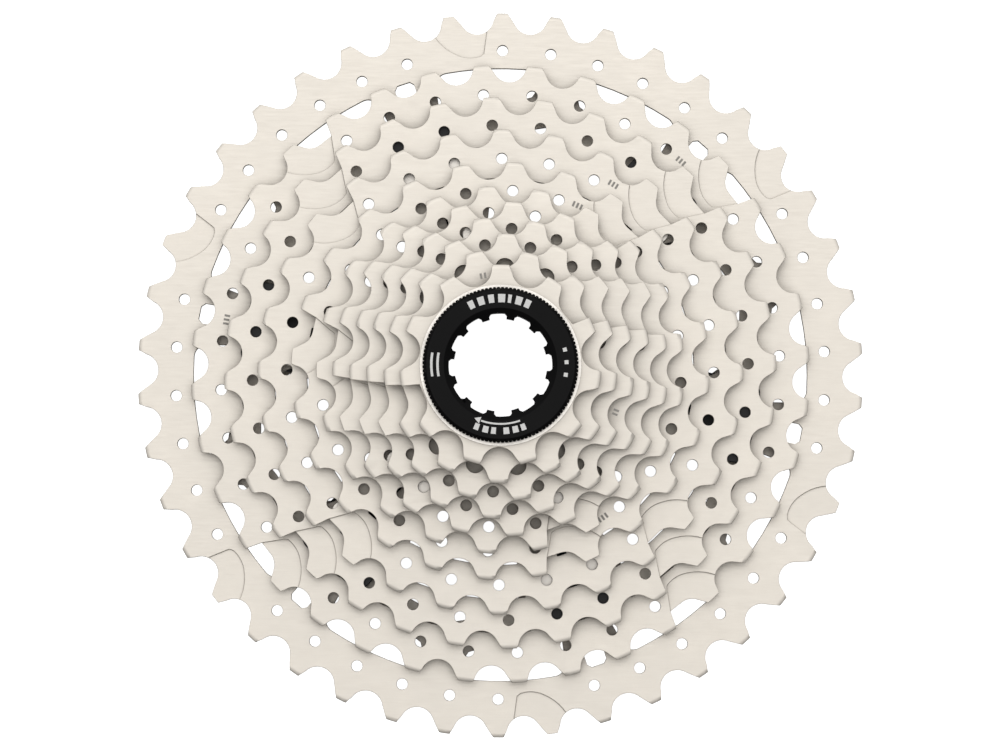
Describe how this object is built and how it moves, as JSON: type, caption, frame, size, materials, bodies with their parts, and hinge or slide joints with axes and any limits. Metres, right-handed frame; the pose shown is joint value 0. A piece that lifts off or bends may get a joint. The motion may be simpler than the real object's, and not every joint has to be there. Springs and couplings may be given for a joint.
{
  "type": "bicycle cassette sprocket set",
  "caption": "Stack of toothed sprockets on splined carriers with shift ramps, spacers and a threaded lockring, for a bicycle's rear hub.",
  "frame": {"origin": "on the hub axle's line, in the plane of the largest sprocket's back face", "axes": "+Z along the axle from the wheel to the smallest sprocket; +X and +Y lie in the largest sprocket's back face"},
  "size_m": [0.1716, 0.172, 0.0422],
  "materials": {
    "plate_nickel": "satin nickel plate",
    "carrier_black": "black anodised",
    "rivet_steel": "zinc plated",
    "rivet_spacer_steel": "turned steel",
    "spacer_grey": "satin aluminium",
    "washer_steel": "serrated steel",
    "lockring_black": "satin black anodised"
  },
  "bodies": {
    "large_cluster": {"sprocket_42t": "plate_nickel", "sprocket_36t": "plate_nickel", "sprocket_32t": "plate_nickel", "large_carrier": "carrier_black", "large_rivets": "rivet_steel", "large_rivet_spacers": "rivet_spacer_steel"},
    "small_cluster": {"sprocket_28t": "plate_nickel", "sprocket_24t": "plate_nickel", "sprocket_21t": "plate_nickel", "small_carrier": "carrier_black", "small_rivets": "rivet_steel", "small_rivet_spacers": "rivet_spacer_steel"},
    "sprocket_19t": {"sprocket_19t": "plate_nickel"},
    "spacer_19_17": {"spacer_19_17": "spacer_grey"},
    "sprocket_17t": {"sprocket_17t": "plate_nickel"},
    "spacer_17_15": {"spacer_17_15": "spacer_grey"},
    "sprocket_15t": {"sprocket_15t": "plate_nickel"},
    "spacer_15_13": {"spacer_15_13": "spacer_grey"},
    "sprocket_13t": {"sprocket_13t": "plate_nickel"},
    "sprocket_11t": {"sprocket_11t": "plate_nickel"},
    "lockring_washer": {"lockring_washer": "washer_steel"},
    "lockring": {"lockring": "lockring_black"}
  },
  "joints": [
    {"name": "small_cluster_slide", "type": "slide", "parent": "large_cluster", "child": "small_cluster", "axis": [0, 0, 1], "range_m": [0, 0.02678]},
    {"name": "sprocket_19t_slide", "type": "slide", "parent": "small_cluster", "child": "sprocket_19t", "axis": [0, 0, 1], "range_m": [0, 0.01556]},
    {"name": "spacer_19_17_slide", "type": "slide", "parent": "sprocket_19t", "child": "spacer_19_17", "axis": [0, 0, 1], "range_m": [0, 0.01396]},
    {"name": "sprocket_17t_slide", "type": "slide", "parent": "spacer_19_17", "child": "sprocket_17t", "axis": [0, 0, 1], "range_m": [0, 0.01182]},
    {"name": "spacer_17_15_slide", "type": "slide", "parent": "sprocket_17t", "child": "spacer_17_15", "axis": [0, 0, 1], "range_m": [0, 0.01022]},
    {"name": "sprocket_15t_slide", "type": "slide", "parent": "spacer_17_15", "child": "sprocket_15t", "axis": [0, 0, 1], "range_m": [0, 0.00808]},
    {"name": "spacer_15_13_slide", "type": "slide", "parent": "sprocket_15t", "child": "spacer_15_13", "axis": [0, 0, 1], "range_m": [0, 0.00648]},
    {"name": "sprocket_13t_slide", "type": "slide", "parent": "spacer_15_13", "child": "sprocket_13t", "axis": [0, 0, 1], "range_m": [0, 0.00434]},
    {"name": "sprocket_11t_slide", "type": "slide", "parent": "sprocket_13t", "child": "sprocket_11t", "axis": [0, 0, 1], "range_m": [0, 0.00274]},
    {"name": "washer_lift", "type": "slide", "parent": "sprocket_11t", "child": "lockring_washer", "axis": [0, 0, 1], "range_m": [0, 0.0054]},
    {"name": "lockring_turn", "type": "hinge", "parent": "lockring_washer", "child": "lockring", "pos_m": [0, 0, 0.0395], "axis": [0, 0, 1], "range_deg": [0, 1800]}
  ],
  "couplings": [
    {"joint": "washer_lift", "follows": "lockring_turn", "m_per_rad": 0.00016844}
  ]
}
